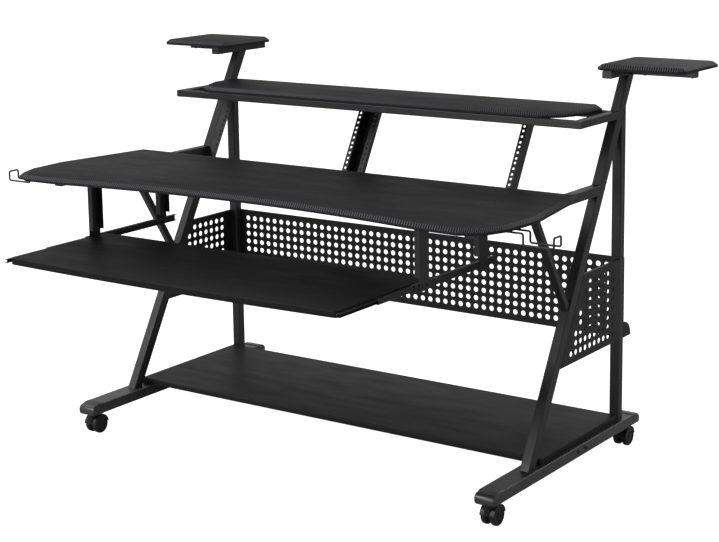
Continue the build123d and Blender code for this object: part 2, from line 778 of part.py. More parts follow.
# ---------------------------------------------------------------- casters
def caster_housing(stem_x, stem_y, trail):
    """Hood over two wheels, with a web between them and a neck for the stem."""
    axle = (stem_y + trail, wheel_radius)
    hood = wheel_radius + hood_clearance + hood_wall
    with BuildPart() as housing:
        with BuildSketch(Plane.YZ.offset(stem_x - wheel_reach)):
            with Locations(axle):
                Circle(hood)
            with Locations((axle[0], axle[1] + hood_open - hood)):
                Rectangle(2 * hood, 2 * hood, mode=Mode.SUBTRACT)
        extrude(amount=2 * wheel_reach)
        with BuildSketch(Plane.XY.offset(wheel_radius + hood_open)):
            with Locations((stem_x, stem_y)):
                Circle(neck_radius)
        extrude(amount=neck_top - wheel_radius - hood_open)
        for way in (-1, 1):
            with BuildSketch(Plane.YZ.offset(stem_x + way * (wheel_gap / 2 - web_clearance))):
                with Locations(axle):
                    Circle(wheel_radius + hood_clearance)
            extrude(amount=way * (wheel_width + 2 * web_clearance), mode=Mode.SUBTRACT)
        with BuildSketch(Plane.YZ.offset(stem_x - wheel_gap / 2 + web_clearance)):
            with Locations(axle):
                Circle(web_radius)
        extrude(amount=wheel_gap - 2 * web_clearance)
        with Locations((stem_x, stem_y, neck_top)):
            Cylinder(
                stem_radius + running_clearance, stem_in_neck + hood_clearance,
                align=(Align.CENTER, Align.CENTER, Align.MAX), mode=Mode.SUBTRACT,
            )
        with BuildSketch(Plane.YZ.offset(stem_x - wheel_reach)):
            with Locations(axle):
                Circle(axle_radius + running_clearance)
        extrude(amount=2 * wheel_reach, mode=Mode.SUBTRACT)
    return housing.part


def caster_wheel(x_mid, axle_y, way):
    """Wheel with a rounded tread and a dished outer side."""
    with BuildPart() as wheel:
        with BuildSketch(Plane.YZ.offset(x_mid - wheel_width / 2)):
            with Locations((axle_y, wheel_radius)):
                Circle(wheel_radius)
                Circle(axle_radius, mode=Mode.SUBTRACT)
        extrude(amount=wheel_width)
        rims = wheel.edges().filter_by(GeomType.CIRCLE).sort_by(Edge.length)[-2:]
        fillet(rims, wheel_round)
        with BuildSketch(Plane.YZ.offset(x_mid + way * wheel_width / 2)):
            with Locations((axle_y, wheel_radius)):
                Circle(wheel_dish)
                Circle(wheel_hub, mode=Mode.SUBTRACT)
        extrude(amount=-way * wheel_dish_depth, mode=Mode.SUBTRACT)
    return wheel.part


def caster_axle(x_mid, axle_y):
    with BuildPart() as axle:
        with BuildSketch(Plane.YZ.offset(x_mid - wheel_reach + wheel_dish_depth)):
            with Locations((axle_y, wheel_radius)):
                Circle(axle_radius)
        extrude(amount=2 * (wheel_reach - wheel_dish_depth))
    return axle.part


caster_stems = []
for side, way in SIDES:
    for end, toward, rail_end in (("front", -1, ahead(foot_reach_front)), ("rear", 1, ahead(-foot_reach_rear))):
        stem_x = way * foot_centre
        stem_y = rail_end + toward * cap_length / 2
        trail = -toward * wheel_trail
        save(caster_housing(stem_x, stem_y, trail), f"caster_housing_{end}_{side}")
        wheels = [
            caster_wheel(stem_x + turn * (wheel_gap + wheel_width) / 2, stem_y + trail, turn) for turn in (-1, 1)
        ]
        save(Compound(children=[*wheels, caster_axle(stem_x, stem_y + trail)]), f"caster_wheels_{end}_{side}")
        with BuildPart() as stem:
            with Locations((stem_x, stem_y, neck_top - stem_in_neck)):
                Cylinder(
                    stem_radius, foot_bottom - tube_wall + stem_socket - neck_top + stem_in_neck,
                    align=(Align.CENTER, Align.CENTER, Align.MIN),
                )
        caster_stems.append(stem.part)
save(Compound(children=caster_stems), "caster_stems")
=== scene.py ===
import json
from math import cos, pi, radians, sin

import bmesh
import bpy
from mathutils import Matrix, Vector


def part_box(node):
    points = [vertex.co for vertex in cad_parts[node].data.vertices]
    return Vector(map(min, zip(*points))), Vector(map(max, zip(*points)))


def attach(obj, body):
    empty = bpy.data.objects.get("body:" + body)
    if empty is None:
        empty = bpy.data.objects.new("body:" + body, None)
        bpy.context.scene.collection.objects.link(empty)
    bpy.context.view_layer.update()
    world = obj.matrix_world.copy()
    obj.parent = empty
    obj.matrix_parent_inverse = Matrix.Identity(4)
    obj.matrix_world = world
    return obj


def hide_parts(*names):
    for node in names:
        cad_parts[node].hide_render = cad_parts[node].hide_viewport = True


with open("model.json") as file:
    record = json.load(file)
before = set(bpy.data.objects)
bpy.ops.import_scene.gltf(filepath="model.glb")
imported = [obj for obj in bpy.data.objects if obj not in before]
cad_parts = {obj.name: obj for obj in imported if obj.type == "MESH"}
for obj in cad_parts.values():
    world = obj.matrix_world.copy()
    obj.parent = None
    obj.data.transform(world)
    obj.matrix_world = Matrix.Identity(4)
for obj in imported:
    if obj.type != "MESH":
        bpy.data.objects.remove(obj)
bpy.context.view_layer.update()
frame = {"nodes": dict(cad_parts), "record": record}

SIDES = (("left", -1.0), ("right", 1.0))
ENDS = ("front", "rear")


# ---------------------------------------------------------------- shader groups
def group(name, inputs, outputs):
    """Empty shader node group; inputs are (name, default), outputs are (name, kind)."""
    tree = bpy.data.node_groups.new(name, "ShaderNodeTree")
    for label, default in inputs:
        kind = "NodeSocketColor" if isinstance(default, tuple) else "NodeSocketFloat"
        tree.interface.new_socket(label, in_out="INPUT", socket_type=kind).default_value = default
    for label, kind in outputs:
        tree.interface.new_socket(label, in_out="OUTPUT", socket_type=kind)
    return tree, tree.nodes.new("NodeGroupInput"), tree.nodes.new("NodeGroupOutput")


class Wires:
    """Short ways to put nodes into one tree."""

    def __init__(self, tree):
        self.tree = tree

    def node(self, kind, **settings):
        made = self.tree.nodes.new(kind)
        for key, value in settings.items():
            setattr(made, key, value)
        return made

    def feed(self, socket, value):
        if isinstance(value, bpy.types.NodeSocket):
            self.tree.links.new(value, socket)
        else:
            socket.default_value = value

    def math(self, how, a, b=0.0, c=0.0):
        made = self.node("ShaderNodeMath", operation=how)
        for socket, value in zip(made.inputs, (a, b, c)):
            self.feed(socket, value)
        return made.outputs[0]

    def noise(self, where, scale, detail=2.0, rough=0.5):
        made = self.node("ShaderNodeTexNoise")
        for label, value in (("Vector", where), ("Scale", scale), ("Detail", detail), ("Roughness", rough)):
            self.feed(made.inputs[label], value)
        return made.outputs["Fac"]

    def span(self, value, low, high, to_low, to_high):
        made = self.node("ShaderNodeMapRange")
        for socket, amount in zip(made.inputs, (value, low, high, to_low, to_high)):
            self.feed(socket, amount)
        return made.outputs[0]

    def mix(self, share, a, b, how="MIX"):
        made = self.node("ShaderNodeMix", data_type="RGBA", blend_type=how)
        for label, value in ((0, share), (6, a), (7, b)):
            self.feed(made.inputs[label], value)
        return made.outputs[2]

    def place(self):
        return self.node("ShaderNodeTexCoord").outputs["Object"]


def powder_coat_group():
    """Fine orange peel of sprayed and baked powder."""
    tree, given, gives = group(
        "powder_coat", [("Peel Scale", 900.0), ("Tone Spread", 0.2)],
        [("Tone", "NodeSocketFloat"), ("Relief", "NodeSocketFloat"), ("Gloss Break", "NodeSocketFloat")],
    )
    w = Wires(tree)
    where = w.place()
    peel = w.noise(where, given.outputs["Peel Scale"], 3.0, 0.6)
    cloud = w.noise(where, 14.0, 3.0, 0.55)
    grit = w.node("ShaderNodeTexVoronoi")
    w.feed(grit.inputs["Vector"], where)
    grit.inputs["Scale"].default_value = 1500.0
    speck = w.span(grit.outputs["Distance"], 0.0, 0.45, 1.0, 0.0)
    tone = w.math("MULTIPLY_ADD", w.math("SUBTRACT", peel, 0.5), given.outputs["Tone Spread"], 1.0)
    tone = w.math("MULTIPLY", tone, w.span(cloud, 0.3, 0.7, 0.93, 1.07))
    w.feed(gives.inputs["Tone"], tone)
    w.feed(gives.inputs["Relief"], w.math("MULTIPLY_ADD", speck, 0.35, peel))
    w.feed(gives.inputs["Gloss Break"], w.span(cloud, 0.3, 0.7, -0.05, 0.05))
    return tree


def edge_rub_group():
    """Mask of outer edges, where hands and cloths polish and chip a finish."""
    tree, given, gives = group(
        "edge_rub", [("Reach", 0.002), ("Amount", 0.6)], [("Mask", "NodeSocketFloat")]
    )
    w = Wires(tree)
    rounded = w.node("ShaderNodeBevel", samples=4)
    w.feed(rounded.inputs["Radius"], given.outputs["Reach"])
    true = w.node("ShaderNodeNewGeometry")
    dot = w.node("ShaderNodeVectorMath", operation="DOT_PRODUCT")
    w.feed(dot.inputs[0], rounded.outputs["Normal"])
    w.feed(dot.inputs[1], true.outputs["Normal"])
    corner = w.span(dot.outputs["Value"], 0.995, 0.85, 0.0, 1.0)
    patchy = w.span(w.noise(w.place(), 55.0, 4.0, 0.65), 0.42, 0.62, 0.15, 1.0)
    worn = w.math("MULTIPLY", corner, patchy)
    w.feed(gives.inputs["Mask"], w.math("MULTIPLY", worn, given.outputs["Amount"]))
    return tree


def twill_group():
    """Two-over, two-under woven look printed and embossed in a film."""
    tree, given, gives = group(
        "twill_film", [("Strand", 0.0032), ("Contrast", 0.35)],
        [("Tone", "NodeSocketFloat"), ("Relief", "NodeSocketFloat"), ("Over", "NodeSocketFloat")],
    )
    w = Wires(tree)
    split = w.node("ShaderNodeSeparateXYZ")
    w.feed(split.inputs[0], w.place())
    across = w.math("DIVIDE", split.outputs["X"], given.outputs["Strand"])
    down = w.math("SUBTRACT", split.outputs["Y"], split.outputs["Z"])
    along = w.math("DIVIDE", down, given.outputs["Strand"])
    step = w.math("ADD", w.math("FLOOR", across), w.math("FLOOR", along))
    over = w.math("LESS_THAN", w.math("FLOORED_MODULO", step, 4.0), 1.5)
    warp = w.math("ABSOLUTE", w.math("SINE", w.math("MULTIPLY", across, pi)))
    weft = w.math("ABSOLUTE", w.math("SINE", w.math("MULTIPLY", along, pi)))
    under = w.math("SUBTRACT", 1.0, over)
    relief = w.math("ADD", w.math("MULTIPLY", over, warp), w.math("MULTIPLY", under, weft))
    lift = w.math("MULTIPLY_ADD", w.math("SUBTRACT", over, 0.5), given.outputs["Contrast"], 1.0)
    shade = w.span(relief, 0.0, 1.0, 0.8, 1.1)
    w.feed(gives.inputs["Tone"], w.math("MULTIPLY", lift, shade))
    w.feed(gives.inputs["Relief"], relief)
    w.feed(gives.inputs["Over"], over)
    return tree


def handling_group():
    """Faint dust and wiped smears that change how glossy a surface is."""
    tree, given, gives = group(
        "handling", [("Smear", 0.06), ("Dust", 0.02)],
        [("Gloss Break", "NodeSocketFloat"), ("Dust Mask", "NodeSocketFloat")],
    )
    w = Wires(tree)
    where = w.place()
    stretched = w.node("ShaderNodeMapping")
    w.feed(stretched.inputs["Vector"], where)
    stretched.inputs["Scale"].default_value = (1.0, 3.5, 3.5)
    smear = w.span(w.noise(stretched.outputs["Vector"], 6.0, 5.0, 0.6), 0.35, 0.7, -1.0, 1.0)
    dust = w.span(w.noise(where, 420.0, 2.0, 0.7), 0.66, 0.74, 0.0, 1.0)
    w.feed(gives.inputs["Gloss Break"], w.math("MULTIPLY", smear, given.outputs["Smear"]))
    w.feed(gives.inputs["Dust Mask"], w.math("MULTIPLY", dust, given.outputs["Dust"]))
    return tree


POWDER = powder_coat_group()
RUB = edge_rub_group()
TWILL = twill_group()
HANDLING = handling_group()


# ---------------------------------------------------------------- finishes
DUST = (0.12, 0.12, 0.12, 1.0)
FILM_EDGE = (0.12, 0.12, 0.125, 1.0)
LAMINATE_EDGE = (0.08, 0.08, 0.08, 1.0)
PLASTIC_EDGE = (0.07, 0.07, 0.07, 1.0)
BARE_STEEL = (0.4, 0.4, 0.4, 1.0)


class Finish(Wires):
    """One material round a Principled shader."""

    def __init__(self, name, metallic=0.0, specular=0.5):
        self.material = bpy.data.materials.new(name)
        self.material.use_nodes = True
        super().__init__(self.material.node_tree)
        self.tree.nodes.clear()
        self.shader = self.node("ShaderNodeBsdfPrincipled")
        self.shader.inputs["Metallic"].default_value = metallic
        self.shader.inputs["Specular IOR Level"].default_value = specular
        self.feed(self.node("ShaderNodeOutputMaterial").inputs["Surface"], self.shader.outputs[0])

    def use(self, tree, **values):
        made = self.node("ShaderNodeGroup", node_tree=tree)
        for label, value in values.items():
            self.feed(made.inputs[label.replace("_", " ")], value)
        return made.outputs

    def tint(self, color, tone):
        shade = self.node("ShaderNodeCombineColor")
        for socket in shade.inputs[:3]:
            self.feed(socket, tone)
        return self.mix(1.0, (*color, 1.0), shade.outputs[0], "MULTIPLY")

    def bump(self, height, strength, distance):
        made = self.node("ShaderNodeBump")
        made.inputs["Strength"].default_value = strength
        made.inputs["Distance"].default_value = distance
        self.feed(made.inputs["Height"], height)
        self.feed(self.shader.inputs["Normal"], made.outputs[0])

    def finish(self, color, roughness):
        self.feed(self.shader.inputs["Base Color"], color)
        self.feed(self.shader.inputs["Roughness"], roughness)
        return self.material


def powder_coated(name, color, roughness, peel, rub, bright, gloss=0.35):
    """Sprayed steel; rubbed edges show a little brighter."""
    f = Finish(name, specular=gloss)
    coat = f.use(POWDER, Peel_Scale=peel, Tone_Spread=0.25)
    edge = f.use(RUB, Reach=0.0018, Amount=rub)["Mask"]
    hand = f.use(HANDLING, Smear=0.05, Dust=0.03)
    body = f.mix(edge, f.tint(color, coat["Tone"]), (*bright, 1.0))
    body = f.mix(hand["Dust Mask"], body, DUST)
    rough = f.math("ADD", f.math("ADD", coat["Gloss Break"], hand["Gloss Break"]), roughness)
    f.bump(coat["Relief"], 0.35, 0.00012)
    return f.finish(body, f.math("SUBTRACT", rough, f.math("MULTIPLY", edge, 0.12)))


def woven_film(name, color, painted_bevel_sheen, roughness):
    """Board wrapped in film with a printed weave: calm on top; on the bevel the over strands get a painted
    highlight, brighter where the face turns up.
    """
    f = Finish(name, specular=0.1)
    weave = f.use(TWILL, Strand=0.0016, Contrast=0.3)
    hand = f.use(HANDLING, Smear=0.05, Dust=0.02)
    edge = f.use(RUB, Reach=0.0012, Amount=0.3)["Mask"]
    facing = f.node("ShaderNodeSeparateXYZ")
    f.feed(facing.inputs[0], f.node("ShaderNodeNewGeometry").outputs["True Normal"])
    # painted highlight: strands on faces that slope up (the bevels) are mixed towards a bright colour,
    # standing in for the light they catch
    bevelled = f.span(facing.outputs["Z"], 0.97, 0.9, 0.0, 1.0)
    upward = f.span(facing.outputs["Z"], 0.3, 0.5, 0.25, 1.0)
    painted_sheen_mask = f.math("MULTIPLY", bevelled, upward)
    body = f.mix(f.math("MULTIPLY", weave["Over"], painted_sheen_mask), f.tint(color, weave["Tone"]), (*painted_bevel_sheen, 1.0))
    body = f.mix(edge, body, FILM_EDGE)
    body = f.mix(hand["Dust Mask"], body, DUST)
    rough = f.math("MULTIPLY_ADD", weave["Over"], -0.08, f.math("ADD", hand["Gloss Break"], roughness))
    f.bump(weave["Relief"], 0.5, 0.00015)
    return f.finish(body, rough)


def laminate(name, color, roughness):
    """Hard laminate with a fine pearl emboss."""
    f = Finish(name, specular=0.14)
    where = f.place()
    pearl = f.noise(where, 1300.0, 2.0, 0.55)
    cloud = f.noise(where, 5.0, 4.0, 0.6)
    hand = f.use(HANDLING, Smear=0.06, Dust=0.03)
    edge = f.use(RUB, Reach=0.002, Amount=0.45)["Mask"]
    tone = f.math("MULTIPLY", f.span(pearl, 0.3, 0.7, 0.85, 1.15), f.span(cloud, 0.3, 0.7, 0.94, 1.06))
    body = f.mix(edge, f.tint(color, tone), LAMINATE_EDGE)
    body = f.mix(hand["Dust Mask"], body, DUST)
    f.bump(pearl, 0.3, 0.00015)
    return f.finish(body, f.math("ADD", hand["Gloss Break"], roughness))


def moulded(name, color, roughness, grain, gloss=0.3):
    """Injection moulded plastic with a spark-eroded grain."""
    f = Finish(name, specular=gloss)
    where = f.place()
    fine = f.noise(where, grain, 3.0, 0.6)
    flow = f.noise(where, 30.0, 3.0, 0.5)
    hand = f.use(HANDLING, Smear=0.06, Dust=0.05)
    edge = f.use(RUB, Reach=0.0012, Amount=0.5)["Mask"]
    tone = f.math("MULTIPLY", f.span(fine, 0.3, 0.7, 0.88, 1.12), f.span(flow, 0.3, 0.7, 0.92, 1.08))
    body = f.mix(edge, f.tint(color, tone), PLASTIC_EDGE)
    body = f.mix(hand["Dust Mask"], body, DUST)
    f.bump(fine, 0.3, 0.0002)
    return f.finish(body, f.math("ADD", hand["Gloss Break"], roughness))


def rolled_steel(name, color, roughness):
    """Cold-rolled steel with a drawn grain along its length."""
    f = Finish(name, metallic=0.85)
    drawn = f.node("ShaderNodeMapping")
    f.feed(drawn.inputs["Vector"], f.place())
    drawn.inputs["Scale"].default_value = (900.0, 14.0, 900.0)
    streak = f.noise(drawn.outputs["Vector"], 1.0, 3.0, 0.6)
    hand = f.use(HANDLING, Smear=0.08, Dust=0.03)
    edge = f.use(RUB, Reach=0.0008, Amount=0.6)["Mask"]
    body = f.mix(edge, f.tint(color, f.span(streak, 0.3, 0.7, 0.8, 1.2)), BARE_STEEL)
    f.bump(streak, 0.2, 0.0001)
    rough = f.math("ADD", hand["Gloss Break"], roughness)
    return f.finish(body, f.math("ADD", f.span(streak, 0.3, 0.7, -0.06, 0.06), rough))


black_steel = powder_coated("black_steel", (0.0145, 0.0145, 0.0156), 0.36, 1100.0, 0.3, (0.07, 0.07, 0.072))
# foot rails: a lighter copy of the black steel; its lighter colour is painted light, standing in for the
# light on the rails' tops
foot_steel = powder_coated(
    "foot_steel", (0.021, 0.021, 0.0225), 0.3, 1100.0, 0.3, (0.08, 0.08, 0.082), 0.75,
)
panel_steel = powder_coated("panel_steel", (0.006, 0.006, 0.0063), 0.48, 900.0, 0.25, (0.06, 0.06, 0.06))
hook_wire = powder_coated("hook_wire", (0.014, 0.014, 0.014), 0.28, 1600.0, 0.2, (0.1, 0.1, 0.1))
# the third colour is the painted highlight on the bevels' strands
weave_board = woven_film("weave_board", (0.0068, 0.0065, 0.0082), (0.082, 0.082, 0.089), 0.56)
# keyboard tray: a darker copy of the shelf laminate; its darker colour is painted shade, standing in for
# the shade under the desktop
tray_laminate = laminate("tray_laminate", (0.0058, 0.0056, 0.0058), 0.52)
shelf_laminate = laminate("shelf_laminate", (0.0155, 0.0152, 0.0165), 0.48)
cap_plastic = moulded("cap_plastic", (0.024, 0.024, 0.027), 0.34, 1500.0, 0.6)
caster_plastic = moulded("caster_plastic", (0.009, 0.009, 0.009), 0.34, 2000.0)
wheel_plastic = moulded("wheel_plastic", (0.014, 0.014, 0.014), 0.3, 1200.0)
slide_steel = rolled_steel("slide_steel", (0.035, 0.035, 0.037), 0.42)
screw_steel = rolled_steel("screw_steel", (0.03, 0.03, 0.031), 0.34)

SLOT_FINISH = {
    "black_steel": black_steel, "weave_board": weave_board, "laminate_board": shelf_laminate,
    "black_plastic": cap_plastic, "caster_tread": wheel_plastic, "slide_steel": slide_steel,
    "hook_wire": hook_wire, "fastener": screw_steel,
}
# the keyboard tray takes the darker copy of the laminate, with painted shade
NODE_FINISH = {"rear_panel": panel_steel, "cable_ledge": panel_steel, "keyboard_tray": tray_laminate}
for side, way in SIDES:
    # the foot rails take the lighter copy of the steel, with painted light
    NODE_FINISH["foot_rail_" + side] = foot_steel
    NODE_FINISH["side_panel_" + side] = panel_steel
    NODE_FINISH["cable_ledge_end_" + side] = panel_steel
    for end in ENDS:
        NODE_FINISH["caster_housing_%s_%s" % (end, side)] = caster_plastic
slot_of = {part["node"]: part["material_slot"] for part in frame["record"]["subparts"]}


def finish_of(node):
    return NODE_FINISH.get(node, SLOT_FINISH[slot_of[node]])


for name, obj in frame["nodes"].items():
    for place in obj.material_slots:
        place.material = finish_of(name)


# ---------------------------------------------------------------- shaping
def new_object(name, mesh):
    obj = bpy.data.objects.new(name, mesh)
    bpy.context.scene.collection.objects.link(obj)
    return obj


def settle(obj):
    """Turns what the modifiers make into the object's own plain mesh."""
    made = bpy.data.meshes.new_from_object(obj.evaluated_get(bpy.context.evaluated_depsgraph_get()))
    obj.modifiers.clear()
    obj.data = made
    return obj


def softened(name, node, body, width, fold=25.0, steps=2):
    """Stands for a CAD node, with every edge sharper than the fold angle eased by the width."""
    work = bmesh.new()
    work.from_mesh(frame["nodes"][node].data)
    bmesh.ops.remove_doubles(work, verts=work.verts, dist=1e-5)
    bmesh.ops.dissolve_limit(work, angle_limit=radians(0.05), verts=work.verts, edges=work.edges)
    mesh = bpy.data.meshes.new(name)
    work.to_mesh(mesh)
    work.free()
    mesh.materials.append(finish_of(node))
    obj = new_object(name, mesh)
    eased = obj.modifiers.new("eased", "BEVEL")
    eased.width = width
    eased.segments = steps
    eased.limit_method = "ANGLE"
    eased.angle_limit = radians(fold)
    eased.use_clamp_overlap = True
    settle(obj)
    obj.data.shade_smooth()
    obj.data.set_sharp_from_angle(angle=radians(35.0))
    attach(obj, body)
    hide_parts(node)
    return obj


for board, width in (("desktop", 0.0009), ("raised_shelf", 0.0009), ("low_shelf", 0.0006),
                     ("top_shelf_left", 0.0009), ("top_shelf_right", 0.0009)):
    softened(board + "_film", board, "frame", width)
softened("keyboard_tray_laminate", "keyboard_tray", "tray", 0.0008)


# ---------------------------------------------------------------- headphone hooks
HOOK_PLATE = 0.037             # the plate's reach along X, where the wire keeps its size
DIP = 0.0005                   # thickness of the dipped coat


def dipped_hook(name, node, way):
    """Wire with the thick smooth coat of a dipped finish; its plate keeps its size."""
    low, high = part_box(node)
    inner = low.x if way > 0 else high.x
    work = bmesh.new()
    work.from_mesh(frame["nodes"][node].data)
    bmesh.ops.remove_doubles(work, verts=work.verts, dist=1e-5)
    work.normal_update()
    for vert in work.verts:
        if (vert.co.x - inner) * way > HOOK_PLATE:
            vert.co += vert.normal * DIP
    mesh = bpy.data.meshes.new(name)
    work.to_mesh(mesh)
    work.free()
    mesh.materials.append(hook_wire)
    mesh.shade_smooth()
    mesh.set_sharp_from_angle(angle=radians(40.0))
    obj = new_object(name, mesh)
    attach(obj, "frame")
    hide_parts(node)


for side, way in SIDES:
    dipped_hook("headphone_wire_" + side, "headphone_hook_" + side, way)


# ---------------------------------------------------------------- foot caps
CAP_SHOWS = 0.041              # from the rail's end to the tip
CAP_SLOPE = 0.004              # drop of the top towards the nose
CAP_FLAT = 0.016               # level part next to the rail
CAP_STEP = 0.0004              # how far the level part's end sits below the top
CAP_NOSE = 0.015
CAP_CHIN = (0.001, 0.004)      # in from the tip and up from the underside
CAP_UNDERCUT = 0.005
CAP_EASE = 0.0055              # rounding of the side edges
NOSE_STEPS = 9


def foot_cap(name, node, toward):
    """Moulded cap: its top dips towards a well rounded nose, and its sides are eased."""
    low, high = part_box(node)
    tip = low.y if toward < 0 else high.y
    back = tip - toward * CAP_SHOWS
    profile = [(back, low.z), (back, high.z), (back + toward * CAP_FLAT, high.z - CAP_STEP)]
    for step in range(NOSE_STEPS):
        turn = radians(90.0 - 10.0 * step)
        profile.append((
            tip - toward * CAP_NOSE * (1.0 - cos(turn)), high.z - CAP_SLOPE - CAP_NOSE * (1.0 - sin(turn)),
        ))
    profile += [(tip - toward * CAP_CHIN[0], low.z + CAP_CHIN[1]), (tip - toward * CAP_UNDERCUT, low.z)]
    work = bmesh.new()
    near = [work.verts.new((low.x, y, z)) for y, z in profile]
    far = [work.verts.new((high.x, y, z)) for y, z in profile]
    work.faces.new(near)
    work.faces.new(list(reversed(far)))
    for one in range(len(profile)):
        two = (one + 1) % len(profile)
        work.faces.new((near[two], near[one], far[one], far[two]))
    bmesh.ops.recalc_face_normals(work, faces=work.faces)
    rim = [
        edge for edge in work.edges
        if len({round(vert.co.x, 5) for vert in edge.verts}) == 1
        and sum(abs(vert.co.y - back) for vert in edge.verts) > 1e-4
    ]
    bmesh.ops.bevel(work, geom=rim, offset=CAP_EASE, segments=4, profile=0.5, affect="EDGES")
    bmesh.ops.recalc_face_normals(work, faces=work.faces)
    mesh = bpy.data.meshes.new(name)
    work.to_mesh(mesh)
    work.free()
    mesh.materials.append(cap_plastic)
    mesh.shade_smooth()
    mesh.set_sharp_from_angle(angle=radians(40.0))
    obj = new_object(name, mesh)
    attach(obj, "frame")
    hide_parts(node)


for side, way in SIDES:
    for end, toward in (("front", -1.0), ("rear", 1.0)):
        foot_cap("foot_cap_moulding_%s_%s" % (end, side), "foot_cap_%s_%s" % (end, side), toward)


# ---------------------------------------------------------------- Geometry Nodes
def maker(name, sizes):
    """Empty geometry tree with a mesh input, named sizes and a material."""
    tree = bpy.data.node_groups.new(name, "GeometryNodeTree")
    tree.interface.new_socket("Geometry", in_out="INPUT", socket_type="NodeSocketGeometry")
    for label, kind, default in sizes:
        tree.interface.new_socket(label, in_out="INPUT", socket_type=kind).default_value = default
    tree.interface.new_socket("Finish", in_out="INPUT", socket_type="NodeSocketMaterial")
    tree.interface.new_socket("Geometry", in_out="OUTPUT", socket_type="NodeSocketGeometry")
    return Wires(tree), tree.nodes.new("NodeGroupInput"), tree.nodes.new("NodeGroupOutput")


def close_tree(w, given, gives, instances):
    real = w.node("GeometryNodeRealizeInstances")
    w.feed(real.inputs[0], instances)
    painted = w.node("GeometryNodeSetMaterial")
    w.feed(painted.inputs["Geometry"], real.outputs[0])
    w.feed(painted.inputs["Material"], given.outputs["Finish"])
    w.feed(gives.inputs["Geometry"], painted.outputs[0])


def screw_tree():
    """Domed head with a driver recess at every point, turned to the point's direction."""
    w, given, gives = maker("screw_heads", [
        ("Head Radius", "NodeSocketFloat", 0.005), ("Head Height", "NodeSocketFloat", 0.0028),
        ("Recess", "NodeSocketFloat", 0.0022),
    ])
    dome = w.node("GeometryNodeMeshUVSphere")
    dome.inputs["Segments"].default_value = 20
    dome.inputs["Rings"].default_value = 10
    w.feed(dome.inputs["Radius"], given.outputs["Head Radius"])
    squashed = w.node("GeometryNodeTransform")
    size = w.node("ShaderNodeCombineXYZ")
    w.feed(size.inputs[0], 1.0)
    w.feed(size.inputs[1], 1.0)
    w.feed(size.inputs[2], w.math("DIVIDE", given.outputs["Head Height"], given.outputs["Head Radius"]))
    w.feed(squashed.inputs["Geometry"], dome.outputs[0])
    w.feed(squashed.inputs["Scale"], size.outputs[0])
    socket = w.node("GeometryNodeMeshCylinder")
    socket.inputs["Vertices"].default_value = 6
    w.feed(socket.inputs["Radius"], given.outputs["Recess"])
    w.feed(socket.inputs["Depth"], w.math("MULTIPLY", given.outputs["Head Height"], 1.2))
    lift = w.node("ShaderNodeCombineXYZ")
    w.feed(lift.inputs[2], given.outputs["Head Height"])
    raised = w.node("GeometryNodeTransform")
    w.feed(raised.inputs["Geometry"], socket.outputs[0])
    w.feed(raised.inputs["Translation"], lift.outputs[0])
    cut = w.node("GeometryNodeMeshBoolean", operation="DIFFERENCE")
    w.feed(cut.inputs[0], squashed.outputs[0])
    w.feed(cut.inputs[1], raised.outputs[0])
    facing = w.node("GeometryNodeInputNamedAttribute", data_type="FLOAT_VECTOR")
    facing.inputs["Name"].default_value = "facing"
    turned = w.node("FunctionNodeAlignRotationToVector", axis="Z")
    w.feed(turned.inputs["Vector"], facing.outputs["Attribute"])
    points = w.node("GeometryNodeInstanceOnPoints")
    w.feed(points.inputs["Points"], given.outputs["Geometry"])
    w.feed(points.inputs["Instance"], cut.outputs[0])
    w.feed(points.inputs["Rotation"], turned.outputs[0])
    close_tree(w, given, gives, points.outputs[0])
    return w.tree


def spoke_tree():
    """Low ribs round a wheel's hub."""
    w, given, gives = maker("hub_spokes", [
        ("Count", "NodeSocketInt", 5), ("Reach", "NodeSocketFloat", 0.0125),
        ("Length", "NodeSocketFloat", 0.009), ("Width", "NodeSocketFloat", 0.0022),
        ("Rise", "NodeSocketFloat", 0.0012),
    ])
    rib = w.node("GeometryNodeMeshCube")
    size = w.node("ShaderNodeCombineXYZ")
    for spot, label in enumerate(("Length", "Width", "Rise")):
        w.feed(size.inputs[spot], given.outputs[label])
    w.feed(rib.inputs["Size"], size.outputs[0])
    out = w.node("GeometryNodeTransform")
    away = w.node("ShaderNodeCombineXYZ")
    w.feed(away.inputs[0], given.outputs["Reach"])
    w.feed(out.inputs["Geometry"], rib.outputs[0])
    w.feed(out.inputs["Translation"], away.outputs[0])
    ring = w.node("GeometryNodeDuplicateElements", domain="INSTANCE")
    one = w.node("GeometryNodeGeometryToInstance")
    w.feed(one.inputs[0], out.outputs[0])
    w.feed(ring.inputs["Geometry"], one.outputs[0])
    w.feed(ring.inputs["Amount"], given.outputs["Count"])
    share = w.math("DIVIDE", ring.outputs["Duplicate Index"], given.outputs["Count"])
    angle = w.node("ShaderNodeCombineXYZ")
    w.feed(angle.inputs[2], w.math("MULTIPLY", share, 2.0 * pi))
    spun = w.node("GeometryNodeRotateInstances")
    w.feed(spun.inputs["Instances"], ring.outputs[0])
    w.feed(spun.inputs["Rotation"], angle.outputs[0])
    facing = w.node("GeometryNodeInputNamedAttribute", data_type="FLOAT_VECTOR")
    facing.inputs["Name"].default_value = "facing"
    turned = w.node("FunctionNodeAlignRotationToVector", axis="Z")
    w.feed(turned.inputs["Vector"], facing.outputs["Attribute"])
    points = w.node("GeometryNodeInstanceOnPoints")
    w.feed(points.inputs["Points"], given.outputs["Geometry"])
    w.feed(points.inputs["Instance"], spun.outputs[0])
    w.feed(points.inputs["Rotation"], turned.outputs[0])
    close_tree(w, given, gives, points.outputs[0])
    return w.tree


SCREWS = screw_tree()
SPOKES = spoke_tree()


